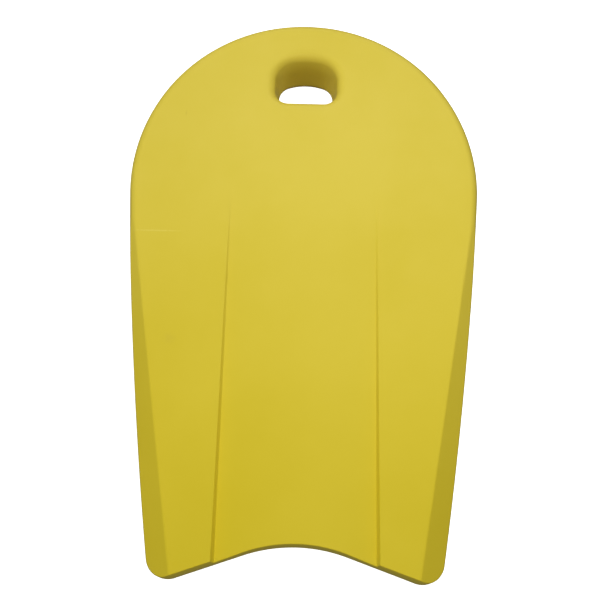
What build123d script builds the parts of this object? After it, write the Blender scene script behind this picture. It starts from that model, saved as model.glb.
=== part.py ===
from build123d import *
import math
import os

# Kickboard float: a closed-cell foam core wrapped in a front skin and a back skin, which meet
# at a parting line half way up the edge and inside the hand slot.
# Frame: millimetres, the board lies on its back face at Z = 0 with its channelled front face up,
# the nose points along +Y, and the origin is in the middle of the board's length and width.

# Plan shape
LENGTH = 480.0
NOSE_RADIUS = 146.5
NOSE_Y = LENGTH / 2 - NOSE_RADIUS       # centre of the round nose
SHOULDER_ANGLE = 33.0                   # degrees above the widest point where the nose arc ends
SHOULDER_RADIUS = 157.4
SIDE_TURN = 3.3                         # degrees past the widest point where the side arc starts
TAIL_HALF_WIDTH = 114.6                 # where the side and the tail edge would meet if not rounded
TAIL_TIP_ROUND = 17.0
NOTCH_TOP = 205.65                      # how far below the origin the two tail edges would meet
NOTCH_SLOPE = 0.351                     # fall of each tail edge per unit of width
NOTCH_ROUND = 126.0

# Thickness and edges
THICKNESS = 38.0
PARTING_Z = THICKNESS / 2
SKIN = 1.5
FRONT_EDGE_ROUND = 7.0
BACK_EDGE_ROUND = 12.0
TAIL_WALL_DRAFT = 12.0                  # degrees the top of the tail wall leans inwards
TAIL_ZONE_Y = -190.0                    # the tail wall is drafted below this

# Rail bevels, flat planes that start at the nose and widen towards the tail
BEVEL_START_X = 148.0
BEVEL_CLOSING = 0.1532                  # how much the inner line closes in per unit of length
BEVEL_ANGLE = 38.0

# Channel in the front face, sloping down from nothing to its full depth at the tail
CHANNEL_TOP_Y = NOSE_Y - 6.0
CHANNEL_HALF_TOP = 62.2
CHANNEL_HALF_TAIL = 65.9
CHANNEL_DEPTH = 7.0
CHANNEL_CROWN = 4.5                     # how much higher the middle of the floor is at the tail
CHANNEL_WALL_TOP = 1.2                  # width of each channel wall in plan where the channel starts
CHANNEL_WALL_TAIL = 2.2

# Hand slot near the nose, wider and taller at the front than at the back. Each width and height
# is given 1 mm outside the face, and the arch is how far the top edge rises in the middle.
SLOT_FRONT_HALF = 28.0
SLOT_BACK_HALF = 22.8
SLOT_FRONT_LOW_Y = 165.0
SLOT_BACK_LOW_Y = 167.0
SLOT_FRONT_HIGH_Y = 207.0
SLOT_BACK_HIGH_Y = 192.5
SLOT_FRONT_ARCH = 5.0
SLOT_BACK_ARCH = 6.3
SLOT_FRONT_CORNER = 18.7
SLOT_BACK_CORNER = 11.2
SLOT_FRONT_LOW_CORNER = 13.0
SLOT_BACK_LOW_CORNER = 6.0
SLOT_FRONT_ROUND = 8.5
SLOT_BACK_ROUND = 6.0

FAR = 1000.0


def outline(inset):
    """The board's plan, moved inwards by inset."""
    start = math.radians(SHOULDER_ANGLE)
    turn = math.radians(SIDE_TURN)
    nose_end = Vector(math.cos(start), math.sin(start)) * NOSE_RADIUS
    centre = nose_end * (1 - SHOULDER_RADIUS / NOSE_RADIUS)
    side_top = centre + Vector(math.cos(turn), -math.sin(turn)) * SHOULDER_RADIUS
    halfway = (start - turn) / 2
    middle = centre + Vector(math.cos(halfway), math.sin(halfway)) * SHOULDER_RADIUS
    up = Vector(0, NOSE_Y)
    side_way = Vector(-math.sin(turn), -math.cos(turn))
    corner = Vector(TAIL_HALF_WIDTH, -NOTCH_TOP - NOTCH_SLOPE * TAIL_HALF_WIDTH)
    nose = ThreePointArc(
        nose_end + up,
        (0, NOSE_Y + NOSE_RADIUS),
        (-nose_end.X, nose_end.Y + NOSE_Y),
    )
    shoulder = ThreePointArc(side_top + up, middle + up, nose_end + up)
    right = TangentArc(side_top + up, corner, tangent=side_way)
    left_shoulder = mirror(shoulder, about=Plane.YZ)
    left = mirror(right, about=Plane.YZ)
    left_edge = Line((-corner.X, corner.Y), (0, -NOTCH_TOP))
    right_edge = Line((0, -NOTCH_TOP), corner)
    loop = [nose, left_shoulder, left, left_edge, right_edge, right, shoulder]
    plan = make_face(Wire([e.edge() for e in loop]))
    tips = plan.vertices().sort_by(Axis.Y)[0:2]
    plan = fillet(tips, TAIL_TIP_ROUND)
    notch = plan.vertices().sort_by_distance((0, -NOTCH_TOP))[0]
    plan = fillet(notch, NOTCH_ROUND)
    if inset > 0:
        plan = offset(plan, amount=-inset)
    return plan


def block(x0, x1, y0, y1, z0, z1):
    """A box between two corners."""
    box = Box(x1 - x0, y1 - y0, z1 - z0)
    return Pos((x0 + x1) / 2, (y0 + y1) / 2, (z0 + z1) / 2) * box


def slab(inset):
    """The board's body before its front is shaped: both edges rounded, and the tail wall drafted."""
    plan = outline(inset)
    shoulder = THICKNESS - FRONT_EDGE_ROUND
    body = Pos(0, 0, inset) * extrude(plan, THICKNESS - 2 * inset)
    body = fillet(body.edges().group_by(Axis.Z)[0], BACK_EDGE_ROUND - inset)
    body = fillet(body.edges().group_by(Axis.Z)[-1], FRONT_EDGE_ROUND - inset)
    body -= block(-FAR, FAR, -FAR, TAIL_ZONE_Y, shoulder, FAR)
    rise = FRONT_EDGE_ROUND - inset
    drafted = Pos(0, 0, shoulder) * extrude(plan, rise, taper=TAIL_WALL_DRAFT)
    drafted -= block(-FAR, FAR, TAIL_ZONE_Y, FAR, -FAR, FAR)
    return body + drafted


def bevel_cutter(inset):
    """The half space above the right rail's bevel."""
    along = Vector(-BEVEL_CLOSING, -1, 0).normalized()
    out = Vector(1, -BEVEL_CLOSING, 0).normalized()
    tilt = math.radians(BEVEL_ANGLE)
    normal = out * math.sin(tilt) + Vector(0, 0, math.cos(tilt))
    start = Vector(BEVEL_START_X, NOSE_Y, THICKNESS) - normal * inset
    face = Plane(origin=start + along * 200, x_dir=along, z_dir=normal)
    return face * Pos(0, 0, 100) * Box(800, 400, 200)


def channel_section(y, half, wall, depth, crown, inset):
    """The channel's cross-section at one place along the board, open above the face."""
    base = THICKNESS - inset
    edge = half + inset
    foot = edge - wall
    floor = base - depth
    over = base + 6.0
    section = make_face(
        Wire(
            [
                Line((edge + 1, over), (-edge - 1, over)),
                Line((-edge - 1, over), (-edge, base)),
                Line((-edge, base), (-foot, floor)),
                ThreePointArc((-foot, floor), (0, floor + crown), (foot, floor)),
                Line((foot, floor), (edge, base)),
                Line((edge, base), (edge + 1, over)),
            ]
        )
    )
    return Plane(origin=(0, y, 0), x_dir=(1, 0, 0), z_dir=(0, -1, 0)) * section


def channel_cutter(inset):
    """The sloping, crowned channel."""
    length = CHANNEL_TOP_Y + LENGTH / 2
    past = 30.0
    stretch = (length + past) / length
    widen = (CHANNEL_HALF_TAIL - CHANNEL_HALF_TOP) * stretch
    thicken = (CHANNEL_WALL_TAIL - CHANNEL_WALL_TOP) * stretch
    start = channel_section(
        CHANNEL_TOP_Y, CHANNEL_HALF_TOP, CHANNEL_WALL_TOP, 0.01, 0.004, inset
    )
    end = channel_section(
        -LENGTH / 2 - past,
        CHANNEL_HALF_TOP + widen,
        CHANNEL_WALL_TOP + thicken,
        CHANNEL_DEPTH * stretch,
        CHANNEL_CROWN * stretch,
        inset,
    )
    return loft([start, end], ruled=True)


def slot_section(z, half, low, high, arch, corner, low_corner):
    """The hand slot's outline: flat below, arched above, round at the corners."""
    shoulder = high - arch
    shape = make_face(
        Wire(
            [
                Line((-half, low), (half, low)),
                Line((half, low), (half, shoulder)),
                ThreePointArc((half, shoulder), (0, high), (-half, shoulder)),
                Line((-half, shoulder), (-half, low)),
            ]
        )
    )
    shape = fillet(shape.vertices().group_by(Axis.Y)[-1], corner)
    shape = fillet(shape.vertices().group_by(Axis.Y)[0], low_corner)
    return Pos(0, 0, z) * shape


def slot_edges(body, z0, z1):
    """The edges round the hand slot between two heights."""
    middle = (SLOT_FRONT_LOW_Y + SLOT_FRONT_HIGH_Y) / 2
    found = []
    for edge in body.edges():
        at = edge.center()
        if abs(at.X) < 40 and abs(at.Y - middle) < 40 and z0 < at.Z < z1:
            found.append(edge)
    return found


def with_hand_slot(body, inset):
    """The body with the hand slot through it and both of the slot's rims rounded."""
    front = slot_section(
        THICKNESS + 1,
        SLOT_FRONT_HALF + inset,
        SLOT_FRONT_LOW_Y - inset,
        SLOT_FRONT_HIGH_Y + inset,
        SLOT_FRONT_ARCH,
        SLOT_FRONT_CORNER + inset,
        SLOT_FRONT_LOW_CORNER + inset,
    )
    back = slot_section(
        -1,
        SLOT_BACK_HALF + inset,
        SLOT_BACK_LOW_Y - inset,
        SLOT_BACK_HIGH_Y + inset,
        SLOT_BACK_ARCH,
        SLOT_BACK_CORNER + inset,
        SLOT_BACK_LOW_CORNER + inset,
    )
    body -= loft([back, front], ruled=True)
    front_rim = slot_edges(body, THICKNESS - inset - 0.1, FAR)
    body = fillet(front_rim, SLOT_FRONT_ROUND - inset)
    back_rim = slot_edges(body, -FAR, inset + 0.1)
    return fillet(back_rim, SLOT_BACK_ROUND - inset)


def board(inset):
    """The whole board with every face moved inwards by inset."""
    body = slab(inset)
    bevel = bevel_cutter(inset)
    body -= bevel
    body -= mirror(bevel, about=Plane.YZ)
    body -= channel_cutter(inset)
    return with_hand_slot(body, inset)


def main():
    os.makedirs("parts", exist_ok=True)
    whole = board(0)
    core = board(SKIN)
    skins = whole - core
    front = skins - block(-FAR, FAR, -FAR, FAR, -FAR, PARTING_Z)
    back = skins - block(-FAR, FAR, -FAR, FAR, PARTING_Z, FAR)
    export_step(core, "parts/foam_core.step")
    export_step(front, "parts/front_skin.step")
    export_step(back, "parts/back_skin.step")


main()
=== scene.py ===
"""Kickboard float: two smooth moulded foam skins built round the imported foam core."""

import math

import bpy
import numpy as np
from mathutils import Matrix, Vector
from mathutils.geometry import delaunay_2d_cdt
from mathutils.kdtree import KDTree


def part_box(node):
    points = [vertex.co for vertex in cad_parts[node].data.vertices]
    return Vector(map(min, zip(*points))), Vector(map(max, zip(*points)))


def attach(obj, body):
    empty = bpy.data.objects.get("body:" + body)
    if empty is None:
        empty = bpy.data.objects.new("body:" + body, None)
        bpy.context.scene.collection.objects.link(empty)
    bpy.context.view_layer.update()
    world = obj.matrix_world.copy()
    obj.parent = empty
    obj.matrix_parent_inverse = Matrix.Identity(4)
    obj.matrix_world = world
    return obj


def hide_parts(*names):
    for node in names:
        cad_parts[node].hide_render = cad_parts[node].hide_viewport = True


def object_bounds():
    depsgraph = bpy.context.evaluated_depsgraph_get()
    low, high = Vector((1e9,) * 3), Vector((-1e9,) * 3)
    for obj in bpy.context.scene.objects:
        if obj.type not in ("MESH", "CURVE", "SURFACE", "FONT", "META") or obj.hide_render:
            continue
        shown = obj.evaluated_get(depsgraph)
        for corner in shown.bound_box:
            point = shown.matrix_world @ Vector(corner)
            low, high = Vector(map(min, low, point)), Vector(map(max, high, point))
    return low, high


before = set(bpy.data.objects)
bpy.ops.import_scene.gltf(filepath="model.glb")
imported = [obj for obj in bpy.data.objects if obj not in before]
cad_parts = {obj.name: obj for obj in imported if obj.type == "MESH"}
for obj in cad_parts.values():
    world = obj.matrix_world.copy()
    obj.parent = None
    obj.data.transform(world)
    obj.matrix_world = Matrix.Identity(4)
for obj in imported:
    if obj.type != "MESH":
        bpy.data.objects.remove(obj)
CAD_BOX = [list(corner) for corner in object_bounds()]

# ---------------------------------------------------------------- sizes, in millimetres
LOW, HIGH = (np.array(corner) * 1000 for corner in CAD_BOX)
THICK = HIGH[2] - LOW[2]
NOSE_R = 146.5
NOSE_Y = HIGH[1] - NOSE_R
TAIL_Y = LOW[1]
SEAM_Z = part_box("back_skin")[1].z * 1000

SHOULDER_ANGLE = math.radians(33)
SHOULDER_R = 157.4
SIDE_TURN = math.radians(3.3)
CORNER_X = 114.6
NOTCH_TOP = 205.65
NOTCH_SLOPE = 0.351
NOTCH_ROUND = 126.0
TIP_ROUND = 17.0

FRONT_ROUND = 7.0
BACK_ROUND = 12.0
TAIL_DRAFT = math.radians(12)
TAIL_ZONE_Y = -190.0
WALL_ROUND = 1.2

BEVEL_X = 148.0
BEVEL_CLOSING = 0.1532
BEVEL_SLOPE = math.tan(math.radians(38))

CHANNEL_TOP_Y = NOSE_Y - 6
CHANNEL_HALF_TOP = 62.2
CHANNEL_HALF_TAIL = 65.9
CHANNEL_DEPTH = 7.0
CHANNEL_CROWN = 4.7
WALL_TOP = 1.2
WALL_TAIL = 2.2

SLOT_HALF = (22.8, 28.0)
SLOT_LOW = (167.0, 165.0)
SLOT_HIGH = (192.5, 207.0)
SLOT_ARCH = (6.3, 5.0)
SLOT_CORNER = (11.2, 18.7)
SLOT_LOW_CORNER = (6.0, 13.0)
SLOT_FRONT_ROUND = 8.5
SLOT_BACK_ROUND = 6.0

SHELL = 0.9         # thickness of each visible skin
BAND = 9.0          # how far in from the outline the regular rows of points reach
FAR_INSIDE = 99.0   # an inset beyond the reach of any edge rounding


# ---------------------------------------------------------------- the plan
def arc(centre, radius, a0, a1, step, outward=1.0):
    """Points and outward normals along an arc between two angles."""
    n = max(2, int(abs(a1 - a0) * radius / step) + 1)
    a = np.linspace(a0, a1, n)
    way = np.stack([np.cos(a), np.sin(a)], 1)
    return np.array(centre) + radius * way, outward * way


def shoulder_centre():
    """Centre of the slightly flatter arc between the nose and each side."""
    way = np.array([math.cos(SHOULDER_ANGLE), math.sin(SHOULDER_ANGLE)])
    return np.array([0, NOSE_Y]) + way * (NOSE_R - SHOULDER_R)


def side_arc():
    """Centre and radius of the long arc from the shoulder to the tail's corner."""
    way = np.array([math.cos(SIDE_TURN), -math.sin(SIDE_TURN)])
    start = shoulder_centre() + way * SHOULDER_R
    inward = -way
    corner = np.array([CORNER_X, -NOTCH_TOP - NOTCH_SLOPE * CORNER_X])
    chord = corner - start
    radius = (chord @ chord) / (2 * (chord @ inward))
    return start + inward * radius, radius


def tip_centre():
    """Centre of the round between the side arc and the straight tail edge."""
    centre, radius = side_arc()
    length = math.hypot(1, NOTCH_SLOPE)
    x = CORNER_X - TIP_ROUND
    for _ in range(40):
        y = -NOTCH_TOP - NOTCH_SLOPE * x + TIP_ROUND * length
        x = centre[0] + math.sqrt((radius - TIP_ROUND) ** 2 - (y - centre[1]) ** 2)
    return np.array([x, y])


def half_outline():
    """The right half of the plan from the nose round to the notch, with outward normals."""
    centre, radius = side_arc()
    tip = tip_centre()
    away = tip - centre
    side_end = math.atan2(away[1], away[0])
    edge_way = np.array([-NOTCH_SLOPE, -1]) / math.hypot(1, NOTCH_SLOPE)
    edge_angle = math.atan2(edge_way[1], edge_way[0])
    half_turn = math.atan(NOTCH_SLOPE)
    notch = np.array([0, -NOTCH_TOP - NOTCH_ROUND / math.cos(half_turn)])
    rise = math.pi / 2 - half_turn
    parts = [
        arc((0, NOSE_Y), NOSE_R, math.pi / 2, SHOULDER_ANGLE, 1.5),
        arc(shoulder_centre(), SHOULDER_R, SHOULDER_ANGLE, -SIDE_TURN, 1.5),
        arc(centre, radius, -SIDE_TURN, side_end, 1.8),
        arc(tip, TIP_ROUND, side_end, edge_angle, 0.6),
    ]
    p0 = parts[-1][0][-1]
    p1 = notch + NOTCH_ROUND * np.array([math.cos(rise), math.sin(rise)])
    outer, inner = CHANNEL_HALF_TAIL + 3, CHANNEL_HALF_TAIL - 7
    x = [
        np.linspace(a, b, int((a - b) / pitch) + 1, endpoint=False)
        for a, b, pitch in ((p0[0], outer, 1.0), (outer, inner, 0.33), (inner, p1[0], 1.0))
    ]
    x = np.concatenate(x + [p1[:1]])
    run = ((x - p0[0]) / (p1[0] - p0[0]))[:, None]
    parts.append((p0 + (p1 - p0) * run, np.repeat(edge_way[None], len(run), 0)))
    parts.append(arc(notch, NOTCH_ROUND, rise, math.pi / 2, 1.0, -1.0))
    points = np.concatenate([p[:-1] for p, _ in parts] + [parts[-1][0][-1:]])
    normals = np.concatenate([n[:-1] for _, n in parts] + [parts[-1][1][-1:]])
    return points, normals


def outline():
    """The whole plan as a closed loop, clockwise from the nose, with outward normals."""
    points, normals = half_outline()
    flip = np.array([-1.0, 1.0])
    points = np.concatenate([points, (points * flip)[-2:0:-1]])
    normals = np.concatenate([normals, (normals * flip)[-2:0:-1]])
    return points, normals


# ---------------------------------------------------------------- the front surface
def smin(a, b, k):
    """The lower of two heights, with the crease between them rounded."""
    h = np.maximum(k - np.abs(a - b), 0) / k
    return np.minimum(a, b) - h * h * k / 4


def channel_edges(y):
    """Half the channel's width, its depth and its walls' width at each y."""
    t = (CHANNEL_TOP_Y - y) / (CHANNEL_TOP_Y - TAIL_Y)
    half = CHANNEL_HALF_TOP + (CHANNEL_HALF_TAIL - CHANNEL_HALF_TOP) * t
    wall = WALL_TOP + (WALL_TAIL - WALL_TOP) * np.maximum(t, 0)
    run = np.maximum(t, 0)
    soft = 0.03
    run = np.where(run < soft, run * run / (2 * soft), run - soft / 2)
    return half, CHANNEL_DEPTH * run / (1 - soft / 2), wall


def channel(x, y):
    """The height of the channel's floor and walls."""
    half, depth, wall = channel_edges(y)
    foot = half - wall
    across = np.clip(np.abs(x) / foot, 0, 1.2)
    crown = depth * CHANNEL_CROWN / CHANNEL_DEPTH
    floor = THICK - depth + crown * (1 - across**2.3)
    side = THICK - (half - np.abs(x)) * depth / wall
    k = np.minimum(1.6, depth * 0.5) + 1e-4
    hollow = -smin(-floor, -side, k)
    return np.where(np.abs(x) < half + 3, hollow, THICK + 50)


def bevel_reach(x, y):
    """How far a point lies beyond the bevel's inner line, in plan."""
    line = BEVEL_X + BEVEL_CLOSING * (y - NOSE_Y)
    return (np.abs(x) - line) / math.hypot(1, BEVEL_CLOSING)


def front(x, y, inset):
    """Height of the front surface. inset is how far inside the plan a point lies."""
    z = np.full(np.shape(x), THICK, float)
    depth = channel_edges(y)[1]
    z = smin(z, channel(x, y), np.minimum(1.2, depth * 0.45) + 1e-4)
    z = smin(z, THICK - BEVEL_SLOPE * bevel_reach(x, y), 0.9)
    lip = FRONT_ROUND - np.clip(inset, 0, FRONT_ROUND)
    rounded = smin(z, THICK - FRONT_ROUND + np.sqrt(FRONT_ROUND**2 - lip**2), 0.35)
    sloped = smin(z, THICK - FRONT_ROUND + inset / math.tan(TAIL_DRAFT), 0.6)
    z = np.where(y < TAIL_ZONE_Y, sloped, rounded)
    edge = np.clip(WALL_ROUND - inset, 0, WALL_ROUND)
    return z - (WALL_ROUND - np.sqrt(WALL_ROUND**2 - edge**2))


def waves(x, y, seed, size, count=14):
    """A smooth, gentle unevenness between about -1 and 1, as moulded foam has."""
    rng = np.random.default_rng(seed)
    total = np.zeros(np.shape(x))
    for _ in range(count):
        angle, phase = rng.uniform(0, 2 * math.pi, 2)
        pitch = size * rng.uniform(0.6, 1.6)
        total += np.sin((x * math.cos(angle) + y * math.sin(angle)) * 2 * math.pi / pitch + phase)
    return total / count**0.5


# ---------------------------------------------------------------- mesh making
class Surface:
    """Vertices with normals, and faces, gathered piece by piece."""

    def __init__(self):
        self.points, self.normals, self.faces, self.count = [], [], [], 0

    def add(self, points, normals):
        first = self.count
        self.points.append(points)
        self.normals.append(normals)
        self.count += len(points)
        return first

    def add_rows(self, rows, normals, flip=False):
        """Rows of points, each a closed loop, joined by quads. Returns their vertex numbers."""
        first = self.add(rows.reshape(-1, 3), normals.reshape(-1, 3))
        ids = first + np.arange(rows.shape[0] * rows.shape[1]).reshape(rows.shape[:2])
        a, b = ids[:-1], ids[1:]
        quads = np.stack([a, np.roll(a, -1, 1), np.roll(b, -1, 1), b], -1).reshape(-1, 4)
        if flip:
            quads = quads[:, ::-1]
        self.faces += quads.tolist()
        return ids


def grid_normals(points):
    """Normals of rows of points, each row a closed loop, from the points beside each one."""
    along = np.roll(points, -1, 1) - np.roll(points, 1, 1)
    across = np.gradient(points, axis=0)
    n = np.cross(along, across)
    return n / np.maximum(np.linalg.norm(n, axis=2, keepdims=True), 1e-12)


def inside(points, loop):
    """Whether each point lies inside a closed loop."""
    x, y = points[:, 0][:, None], points[:, 1][:, None]
    a, b = loop, np.roll(loop, -1, 0)
    spans = (a[:, 1] > y) != (b[:, 1] > y)
    rise = np.where(np.abs(b[:, 1] - a[:, 1]) < 1e-12, 1e-12, b[:, 1] - a[:, 1])
    cross = x < (b[:, 0] - a[:, 0]) * (y - a[:, 1]) / rise + a[:, 0]
    return (np.count_nonzero(spans & cross, axis=1) % 2) == 1


def apart(points, kept, gap):
    """The points that lie at least gap from every kept one."""
    tree = KDTree(len(kept))
    for i, p in enumerate(kept):
        tree.insert((p[0], p[1], 0), i)
    tree.balance()
    far = [tree.find((p[0], p[1], 0))[2] >= gap for p in points]
    return points[np.array(far, bool)]


def triangles(outer, hole, points):
    """Triangles over the area between two loops, through the points. The loops come first."""
    loops = np.concatenate([outer, hole])
    n, m = len(outer), len(hole)
    edges = [(i, (i + 1) % n) for i in range(n)]
    edges += [(n + i, n + (i + 1) % m) for i in range(m)]
    every = np.concatenate([loops, points])
    found = delaunay_2d_cdt([Vector(p) for p in every], edges, [], 0, 1e-6)
    if len(found[0]) != len(every):
        raise RuntimeError("the triangulation changed the points")
    order = np.array([o[0] for o in found[3]])
    tris = order[np.array(found[2])]
    middle = every[tris].mean(1)
    keep = inside(middle, outer) & ~inside(middle, hole)
    tris = tris[keep]
    a, b, c = (every[tris[:, i]] for i in range(3))
    turn = (b[:, 0] - a[:, 0]) * (c[:, 1] - a[:, 1]) - (b[:, 1] - a[:, 1]) * (c[:, 0] - a[:, 0])
    tris[turn < 0] = tris[turn < 0][:, ::-1]
    return tris


# ---------------------------------------------------------------- the hand slot
def slot_loop(which, count=176):
    """The slot's outline at its back (0) or front (1), anticlockwise, with normals out of it."""
    low, high, half = SLOT_LOW[which], SLOT_HIGH[which], SLOT_HALF[which]
    rise, r, s = SLOT_ARCH[which], SLOT_CORNER[which], SLOT_LOW_CORNER[which]
    big = (half**2 + rise**2) / (2 * rise)
    arch = np.array([0, high - big])
    cx, bx = half - r, half - s
    cy = arch[1] + math.sqrt((big - r) ** 2 - cx**2)
    meet = math.atan2(cy - arch[1], cx)
    pieces = [
        arc((bx, low + s), s, -math.pi / 2, 0, 0.6),
        (np.array([[half, low + s], [half, cy]]), np.array([[1.0, 0], [1, 0]])),
        arc((cx, cy), r, 0, meet, 0.6),
        arc(arch, big, meet, math.pi - meet, 0.8),
        arc((-cx, cy), r, math.pi - meet, math.pi, 0.6),
        (np.array([[-half, cy], [-half, low + s]]), np.array([[-1.0, 0], [-1, 0]])),
        arc((-bx, low + s), s, math.pi, 1.5 * math.pi, 0.6),
        (np.array([[-bx, low], [bx, low]]), np.array([[0, -1.0], [0, -1]])),
    ]
    shares = (26, 12, 20, 32, 20, 12, 26, 28)
    points, normals = [], []
    for (p, n), share in zip(pieces, shares):
        run = np.concatenate([[0], np.cumsum(np.linalg.norm(np.diff(p, axis=0), axis=1))])
        at = np.linspace(0, run[-1], share, endpoint=False)
        points.append(np.stack([np.interp(at, run, p[:, k]) for k in range(2)], 1))
        normals.append(np.stack([np.interp(at, run, n[:, k]) for k in range(2)], 1))
    points, normals = np.concatenate(points), np.concatenate(normals)
    return points, normals / np.linalg.norm(normals, axis=1, keepdims=True)


SLOT_BACK, BACK_WAY = slot_loop(0)
SLOT_FRONT, FRONT_WAY = slot_loop(1)


def slot_wall(z):
    """The slot's wall at a height, and the way out of the slot there."""
    t = (z + 1) / (THICK + 2)
    way = BACK_WAY + (FRONT_WAY - BACK_WAY) * t
    way /= np.linalg.norm(way, axis=1, keepdims=True)
    return SLOT_BACK + (SLOT_FRONT - SLOT_BACK) * t, way


def slot_rim(radius, face_z, up):
    """Rows round the slot's rim, from the face to the wall. up is 1 in front, -1 at the back."""
    middle = face_z - up * radius
    wall, way = slot_wall(middle)
    beyond, _ = slot_wall(middle + up)
    lean = np.arctan(((beyond - wall) * way).sum(1))[:, None]
    centre = wall + way * radius / np.cos(lean)
    rows = []
    for t in np.linspace(0, 1, 15):
        angle = math.pi / 2 + (lean - math.pi / 2) * t
        flat = centre - way * radius * np.cos(angle)
        z = middle + up * radius * np.sin(angle)
        rows.append(np.concatenate([flat, z], 1))
    return rows


# ---------------------------------------------------------------- the two skins
# Insets of the front's rows of points, close together where the edge curves
INSETS = [0, 0.03, 0.08, 0.16, 0.28, 0.44, 0.65, 0.9, 1.2, 1.55, 1.9, 2.2, 2.45, 2.65, 2.9]
INSETS += [3.3, 3.9, 4.7, 5.6, 6.5, 7.2, 8.0, BAND]
SEAM = [(0.0, 0.30), (0.10, 0.17), (0.25, 0.06), (0.50, 0.0)]  # distance from it, and depth
SLOT_SEAM = 0.3     # the groove's depth inside the slot, as a share of its depth outside


def loft(points, normals, inset):
    """A loop moved inwards."""
    return points - normals * inset


def outer_rows(points, normals, heights):
    """Rows of 3-D points from (inset, height) pairs; a height may differ along the loop."""
    rows = []
    for inset, z in heights:
        flat = loft(points, normals, inset)
        rows.append(np.concatenate([flat, np.broadcast_to(z, len(flat))[:, None]], 1))
    return rows


def seam_rows(up):
    """Inset and height of the fine groove where the skins meet."""
    return [(inset, SEAM_Z + up * rise) for rise, inset in SEAM]


def level_row(flat, z):
    """A loop of plan points, all at one height."""
    return np.concatenate([flat, np.full((len(flat), 1), z)], 1)


def slot_rows(radius, face_z, up, shares):
    """Rows of points from the slot's rim down its wall to the groove where the skins meet."""
    rows = slot_rim(radius, face_z, up)
    z0 = rows[-1][:, 2].mean()
    z1 = SEAM_Z + up * SEAM[-1][0]
    for share in shares:
        z = z0 + (z1 - z0) * share
        rows.append(level_row(slot_wall(z)[0], z))
    for rise, inset in SEAM[::-1]:
        z = SEAM_Z + up * rise
        wall, way = slot_wall(z)
        rows.append(level_row(wall + way * inset * SLOT_SEAM, z))
    return np.array(rows)


def front_features():
    """Points packed along the channel's edges and the bevels' inner lines."""
    points = []
    ys = np.arange(TAIL_Y + 8, CHANNEL_TOP_Y + 8, 2.4)
    half, _, width = channel_edges(ys)
    for off in (-2.2, -1.3, -0.7, -0.35, -0.12, 0.12):
        points.append(np.stack([half - off, ys], 1))
    for share in (0.3, 0.5, 0.7):
        points.append(np.stack([half - 0.12 - (width - 0.12) * share, ys], 1))
    for off in (-0.15, 0.12, 0.35, 0.65, 1.1, 1.7, 2.6, 4.0):
        points.append(np.stack([half - width - off, ys], 1))
    ys = np.arange(TAIL_Y + 4, NOSE_Y, 2.4)
    line = BEVEL_X + BEVEL_CLOSING * (ys - NOSE_Y)
    for off in (-3.4, -2.2, -1.3, -0.7, -0.25, 0.25, 0.7, 1.3, 2.2, 3.4):
        points.append(np.stack([line + off, ys], 1))
    points = np.concatenate(points)
    return np.concatenate([points, points * [-1, 1]])


def fill_points(pitch):
    """A staggered grid over the whole board."""
    rows = []
    for i, y in enumerate(np.arange(TAIL_Y, HIGH[1], pitch * 0.866)):
        x = np.arange(pitch * 0.25 * (1 if i % 2 else 3), NOSE_R, pitch)
        x = np.concatenate([-x[::-1], x])
        rows.append(np.stack([x, np.full(len(x), y)], 1))
    return np.concatenate(rows)


def face_fill(surface, outer, outer_ids, hole, hole_ids, points, height):
    """Fills a face between its outer loop and the slot's rim, with normals from its slope."""
    tris = triangles(outer, hole, points)
    step = 0.05
    flat = np.full(len(points), FAR_INSIDE)
    x, y = points.T
    z = height(x, y, flat)
    dx = (height(x + step, y, flat) - height(x - step, y, flat)) / (2 * step)
    dy = (height(x, y + step, flat) - height(x, y - step, flat)) / (2 * step)
    n = np.stack([-dx, -dy, np.ones(len(x))], 1)
    n /= np.linalg.norm(n, axis=1, keepdims=True)
    first = surface.add(np.stack([x, y, z], 1), n)
    ids = np.concatenate([outer_ids, hole_ids, np.arange(first, first + len(points))])
    return ids[tris]


def front_skin():
    """The front skin's outer surface, and the two loops where it ends at the seam."""
    points, normals = outline()
    surface = Surface()
    edge_z = front(points[:, 0], points[:, 1], np.zeros(len(points)))
    rows = seam_rows(1)
    for share in (0.25, 0.5, 0.75, 0.92):
        z0 = SEAM_Z + SEAM[-1][0]
        rows.append((0, z0 + (edge_z - z0) * share))
    for inset in INSETS:
        at = loft(points, normals, inset)
        rows.append((inset, front(at[:, 0], at[:, 1], np.full(len(at), inset))))
    grid = np.array(outer_rows(points, normals, rows))
    grid[:, :, 2] += unevenness(grid)
    ids = surface.add_rows(grid, -grid_normals(grid), flip=True)

    slot = slot_rows(SLOT_FRONT_ROUND, THICK, 1, (0.3, 0.6, 0.85))
    slot[:, :, 2] += unevenness(slot)
    slot_ids = surface.add_rows(slot, grid_normals(slot))

    outer, hole = grid[-1][:, :2], slot[0][:, :2]
    extra = front_features()
    border = np.concatenate([outer, hole])
    extra = extra[inside(extra, outer) & ~inside(extra, hole)]
    extra = apart(extra, border, 0.45)
    fill = fill_points(4.2)
    fill = fill[inside(fill, outer) & ~inside(fill, hole)]
    fill = apart(fill, np.concatenate([border, extra]), 2.4)
    points = np.concatenate([extra, fill])
    tris = face_fill(surface, outer, ids[-1], hole, slot_ids[0], points, front_height)
    surface.faces += tris.tolist()
    return surface, [(ids[0], False), (slot_ids[-1], False)]


def sag(x, y):
    """The front face's slight unevenness, in millimetres."""
    return 0.10 * waves(x, y, 5, 120) + 0.03 * waves(x, y, 8, 45)


def front_height(x, y, inset):
    """Height of the front surface with its unevenness."""
    return front(x, y, inset) + sag(x, y)


def unevenness(grid):
    """The same, fading out down the walls."""
    fade = np.clip((grid[:, :, 2] - SEAM_Z - 2) / (THICK - SEAM_Z - 4), 0, 1)
    return sag(grid[:, :, 0], grid[:, :, 1]) * fade


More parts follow.
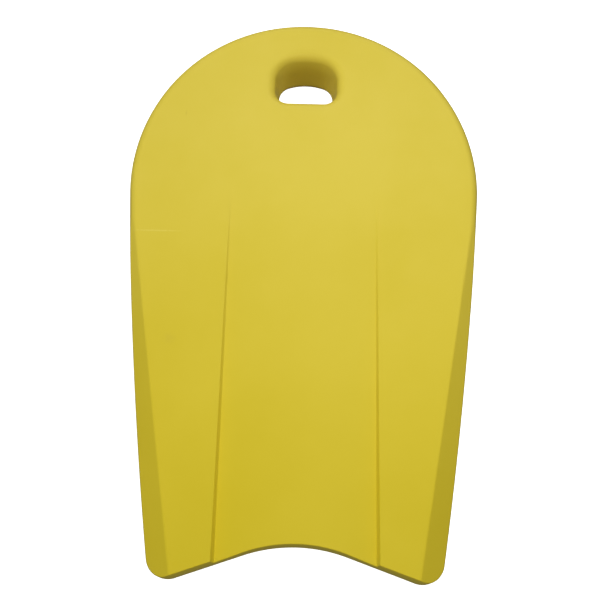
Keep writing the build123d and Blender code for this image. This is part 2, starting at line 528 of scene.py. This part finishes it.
def back_skin():
    """The back skin's outer surface, and the two loops where it ends at the seam."""
    points, normals = outline()
    surface = Surface()
    rows = seam_rows(-1)
    for share in (0.5, 1.0):
        rows.append((0, SEAM_Z - SEAM[-1][0] + (BACK_ROUND - SEAM_Z + SEAM[-1][0]) * share))
    for angle in np.linspace(0, math.pi / 2, 15)[1:]:
        rows.append((BACK_ROUND * (1 - math.cos(angle)), BACK_ROUND * (1 - math.sin(angle))))
    grid = np.array(outer_rows(points, normals, rows))
    grid[:, :, 2] = np.maximum(grid[:, :, 2], 0) + back_rise(grid)
    ids = surface.add_rows(grid, grid_normals(grid))

    slot = slot_rows(SLOT_BACK_ROUND, 0.0, -1, (0.35, 0.7))
    slot[:, :, 2] = np.maximum(slot[:, :, 2], 0) + back_rise(slot)
    slot_ids = surface.add_rows(slot, -grid_normals(slot), flip=True)

    outer, hole = grid[-1][:, :2], slot[0][:, :2]
    border = np.concatenate([outer, hole])
    fill = fill_points(6.0)
    fill = fill[inside(fill, outer) & ~inside(fill, hole)]
    fill = apart(fill, border, 2.5)
    tris = face_fill(surface, outer, ids[-1], hole, slot_ids[0], fill, back_height)
    surface.normals[-1] *= -1
    surface.faces += tris[:, ::-1].tolist()
    return surface, [(ids[0], True), (slot_ids[-1], True)]


def back_sag(x, y):
    """The back face's slight unevenness, never below the plane it rests on."""
    return np.maximum(0.12 + 0.12 * waves(x, y, 11, 130), 0)


def back_height(x, y, inset):
    """Height of the back surface, which is the same however far in a point lies."""
    return back_sag(x, y)


def back_rise(grid):
    """The same, fading out up the rounded edge."""
    fade = np.clip(1 - grid[:, :, 2] / BACK_ROUND, 0, 1)
    return back_sag(grid[:, :, 0], grid[:, :, 1]) * fade


def shell_object(name, surface, rims):
    """A closed thin shell: the surface, a copy of it moved inwards, and a rim along the seam."""
    points = np.concatenate(surface.points)
    normals = np.concatenate(surface.normals)
    count = len(points)
    inner = points - normals * SHELL
    faces = surface.faces + [[i + count for i in f[::-1]] for f in surface.faces]
    for loop, flip in rims:
        a, b = np.asarray(loop), np.roll(loop, -1)
        quads = np.stack([a, a + count, b + count, b], 1)
        faces += (quads if flip else quads[:, ::-1]).tolist()
    mesh = bpy.data.meshes.new(name)
    mesh.from_pydata((np.concatenate([points, inner]) / 1000).tolist(), [], faces)
    mesh.update()
    mesh.polygons.foreach_set("use_smooth", np.ones(len(mesh.polygons), bool))
    mesh.normals_split_custom_set_from_vertices(np.concatenate([normals, -normals]).tolist())
    piece = bpy.data.objects.new(name, mesh)
    bpy.context.scene.collection.objects.link(piece)
    return piece


# ---------------------------------------------------------------- materials
class Nodes:
    """A short way to write a material's nodes."""

    def __init__(self, name):
        self.material = bpy.data.materials.new(name)
        self.material.use_nodes = True
        self.tree = self.material.node_tree
        self.shader = self.tree.nodes["Principled BSDF"]
        self.place = self.tree.nodes.new("ShaderNodeTexCoord").outputs["Object"]

    def add(self, kind, *links, **values):
        node = self.tree.nodes.new("ShaderNode" + kind)
        for key, value in values.items():
            if hasattr(node, key):
                setattr(node, key, value)
            else:
                node.inputs[key.replace("_", " ").strip()].default_value = value
        for source, target in links:
            self.tree.links.new(source, node.inputs[target])
        return node

    def noise(self, scale, detail=3.0, rough=0.5):
        values = {"Scale": scale, "Detail": detail, "Roughness": rough}
        return self.add("TexNoise", (self.place, "Vector"), **values).outputs["Fac"]

    def span(self, source, low, high, to_low, to_high):
        """A number moved from one range to another, and held inside it."""
        values = {"From_Min": low, "From_Max": high, "To_Min": to_low, "To_Max": to_high}
        return self.add("MapRange", (source, "Value"), **values).outputs["Result"]

    def mix(self, factor, a, b, blend="MIX"):
        """One colour laid over another."""
        node = self.tree.nodes.new("ShaderNodeMix")
        node.data_type, node.blend_type = "RGBA", blend
        for socket, value in ((node.inputs[0], factor), (node.inputs[6], a), (node.inputs[7], b)):
            if isinstance(value, bpy.types.NodeSocket):
                self.tree.links.new(value, socket)
            else:
                socket.default_value = value
        return node.outputs[2]

    def along(self, low, high):
        """Nothing below one place along the board, one above another, eased between them."""
        y = self.add("SeparateXYZ", (self.place, 0)).outputs["Y"]
        eased = {"interpolation_type": "SMOOTHSTEP", "From_Min": low, "From_Max": high}
        return self.add("MapRange", (y, "Value"), **eased).outputs["Result"]

    def near(self, spot, reach):
        """One at a place on the board and nothing beyond its reach along each axis."""
        away = self.add("VectorMath", (self.place, 0), operation="SUBTRACT")
        away.inputs[1].default_value = spot
        share = self.add("VectorMath", (away.outputs["Vector"], 0), operation="DIVIDE")
        share.inputs[1].default_value = reach
        far = self.add("VectorMath", (share.outputs["Vector"], 0), operation="LENGTH")
        return self.span(far.outputs["Value"], 0.35, 1, 1, 0)

    def times(self, a, b, strength):
        """Two numbers and a strength, multiplied."""
        both = self.add("Math", (a, 0), (b, 1), operation="MULTIPLY")
        return self.sum((both.outputs[0], strength))

    def sum(self, *terms):
        """The sum of (number, weight) pairs."""
        total = None
        for source, weight in terms:
            part = self.add("Math", (source, 0), operation="MULTIPLY")
            part.inputs[1].default_value = weight
            if total is None:
                total = part.outputs[0]
                continue
            total = self.add("Math", (total, 0), (part.outputs[0], 1), operation="ADD").outputs[0]
        return total


# The yellow at the nose is paler and bluer than at the tail: a painted sheen, not a change in the
# foam's own colour.
NOSE_YELLOW_PAINTED_SHEEN = (0.697, 0.558, 0.057)
TAIL_YELLOW = (0.692, 0.544, 0.023)
PALE_RUB = (0.82, 0.70, 0.14, 1)
DULL_RUB = (0.60, 0.46, 0.05, 1)
# Painted shade in the hand slot: a dark brown laid over the middle and back of the slot's wall,
# where little light reaches.
SLOT_SHADE = (0.42, 0.27, 0.012, 1)
SLOT_SHADE_SPOT = ((0, 0.196, 0.018), (0.034, 0.026, 0.032))

# Each mark's place, its reach along each axis, its tone and its strength, in metres: a rubbed line
# near the left edge, a smudge below it and a small mark near the nose.
WEAR = [
    ((-0.1225, 0.043, 0.037), (0.0260, 0.0009, 0.006), PALE_RUB, 0.50),
    ((-0.1070, -0.050, 0.038), (0.0070, 0.0060, 0.004), DULL_RUB, 0.22),
    ((-0.1030, 0.151, 0.038), (0.0008, 0.0034, 0.004), DULL_RUB, 0.45),
]


def skin_material():
    """Satin moulded foam: slow drifts of colour and gloss, a painted sheen towards the nose,
    painted shade in the hand slot, a fine grain, and light wear.
    """
    m = Nodes("moulded_foam_skin")
    cloud = m.noise(9, 4, 0.55)
    patch = m.noise(38, 3, 0.5)
    # Painted sheen: the colour eases from the tail's yellow to the paler nose yellow along the
    # board.
    colour = m.mix(m.along(-0.20, 0.20), (*TAIL_YELLOW, 1), (*NOSE_YELLOW_PAINTED_SHEEN, 1))
    colour = m.mix(m.span(cloud, 0.35, 0.65, 0, 1), colour, (1.04, 1.045, 1.3, 1), "MULTIPLY")
    worn = m.noise(420, 3, 0.6)
    for spot, reach, tone, strength in WEAR:
        mask = m.times(m.near(spot, reach), m.span(worn, 0.38, 0.55, 0.35, 1), strength)
        colour = m.mix(mask, colour, tone)
    # Painted shade: the slot's wall is darkened towards its middle and back.
    slot_shade_mask = m.sum((m.near(*SLOT_SHADE_SPOT), 0.50))
    colour = m.mix(slot_shade_mask, colour, SLOT_SHADE)
    m.tree.links.new(colour, m.shader.inputs["Base Color"])
    rough = m.sum((patch, 0.16), (cloud, 0.10))
    m.tree.links.new(m.span(rough, 0.06, 0.20, 0.34, 0.46), m.shader.inputs["Roughness"])
    grain = m.noise(1500, 2, 0.6)
    height = m.sum((grain, 0.35), (m.noise(260, 2, 0.5), 0.5), (patch, 1.2))
    bump = m.add("Bump", (height, "Height"), Strength=0.25, Distance=0.0002)
    m.tree.links.new(bump.outputs["Normal"], m.shader.inputs["Normal"])
    m.shader.inputs["IOR"].default_value = 1.42
    return m.material


def foam_material():
    """The cut cells of the core, which the skins cover."""
    m = Nodes("closed_cell_foam")
    cells = m.add("TexVoronoi", (m.place, "Vector"), Scale=900.0).outputs["Distance"]
    colour = m.mix(m.span(cells, 0.1, 0.7, 0, 1), (0.62, 0.50, 0.12, 1), (0.80, 0.68, 0.24, 1))
    m.tree.links.new(colour, m.shader.inputs["Base Color"])
    m.tree.links.new(m.span(cells, 0, 1, 0.8, 0.95), m.shader.inputs["Roughness"])
    bump = m.add("Bump", (cells, "Height"), Strength=0.5, Distance=0.0004)
    m.tree.links.new(bump.outputs["Normal"], m.shader.inputs["Normal"])
    return m.material


# ---------------------------------------------------------------- stage
WORLD_LIGHT = 0.10


def make_camera():
    """A camera over the tail's side of the board, turned a little against its long axis."""
    pitch, roll = math.radians(16.2), math.radians(1.333)
    turn = Matrix.Rotation(pitch, 3, "X") @ Matrix.Rotation(roll, 3, "Z")
    aim = Vector((-0.0010, -0.0039, 0.0))
    away = 0.9873
    data = bpy.data.cameras.new("camera")
    data.sensor_width = 36
    data.lens = 69.0
    camera = bpy.data.objects.new("camera", data)
    place = aim + turn @ Vector((0, 0, away))
    camera.matrix_world = Matrix.Translation(place) @ turn.to_4x4()
    bpy.context.scene.collection.objects.link(camera)
    bpy.context.scene.camera = camera


def area_light(name, place, target, size, watts, shine=True, shade=True):
    """A square soft box. Without shine it lights the board but leaves no reflection on it."""
    data = bpy.data.lights.new(name, "AREA")
    data.shape = "SQUARE"
    data.size = size
    data.energy = watts
    data.use_shadow = shade
    light = bpy.data.objects.new(name, data)
    light.location = place
    light.rotation_euler = (Vector(target) - Vector(place)).to_track_quat("-Z", "Y").to_euler()
    light.visible_glossy = shine
    bpy.context.scene.collection.objects.link(light)


def make_world():
    """A white surround that lights the board only a little."""
    world = bpy.data.worlds.new("studio")
    bpy.context.scene.world = world
    world.use_nodes = True
    tree = world.node_tree
    background = tree.nodes["Background"]
    background.inputs["Color"].default_value = (1, 1, 1, 1)
    seen = tree.nodes.new("ShaderNodeLightPath").outputs["Is Camera Ray"]
    level = tree.nodes.new("ShaderNodeMapRange")
    level.inputs["To Min"].default_value = WORLD_LIGHT
    tree.links.new(seen, level.inputs["Value"])
    tree.links.new(level.outputs["Result"], background.inputs["Strength"])


def make_stage():
    """The pale floor, the surround and the soft boxes."""
    bpy.ops.mesh.primitive_plane_add(size=12, location=(0, 0, 0))
    floor = bpy.context.object
    floor.name = "floor"
    m = Nodes("pale_floor")
    patches = m.span(m.noise(3, 2), 0.3, 0.7, 0, 1)
    shade = m.mix(patches, (0.90, 0.90, 0.90, 1), (0.93, 0.93, 0.93, 1))
    m.tree.links.new(shade, m.shader.inputs["Base Color"])
    m.shader.inputs["Roughness"].default_value = 0.9
    m.shader.inputs["Emission Color"].default_value = (1, 1, 1, 1)
    m.shader.inputs["Emission Strength"].default_value = 0.9
    floor.data.materials.append(m.material)
    floor.visible_diffuse = False
    floor.visible_glossy = False
    make_world()
    area_light("overhead", (0.05, 0.10, 0.54), (0.05, 0.10, 0), 0.24, 0.70, shine=False)
    area_light("front_far", (0.3, 0.4, 3.0), (0, 0, 0), 1.4, 25, shine=False)
    area_light("nose_side", (0.0, 1.3, 1.0), (0, 0.10, 0), 1.2, 3.4)
    area_light("left_far", (-2.4, 0.6, 1.7), (0, 0, 0), 1.2, 28, shine=False, shade=False)
    area_light("right_far", (2.0, 0.6, 2.3), (0, 0, 0), 1.2, 14, shine=False, shade=False)
    area_light("tail_low", (0.4, -2.7, 0.65), (0, 0, 0), 1.2, 15, shine=False)
    bpy.context.scene.view_settings.view_transform = "Standard"


def main():
    make_camera()
    skin = skin_material()
    for name, make in (("front_skin_moulding", front_skin), ("back_skin_moulding", back_skin)):
        piece = shell_object(name, *make())
        piece.data.materials.append(skin)
        node = name.replace("_moulding", "")
        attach(piece, "root")
        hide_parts(node)
    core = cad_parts["foam_core"]
    core.data.materials.clear()
    core.data.materials.append(foam_material())
    make_stage()


main()
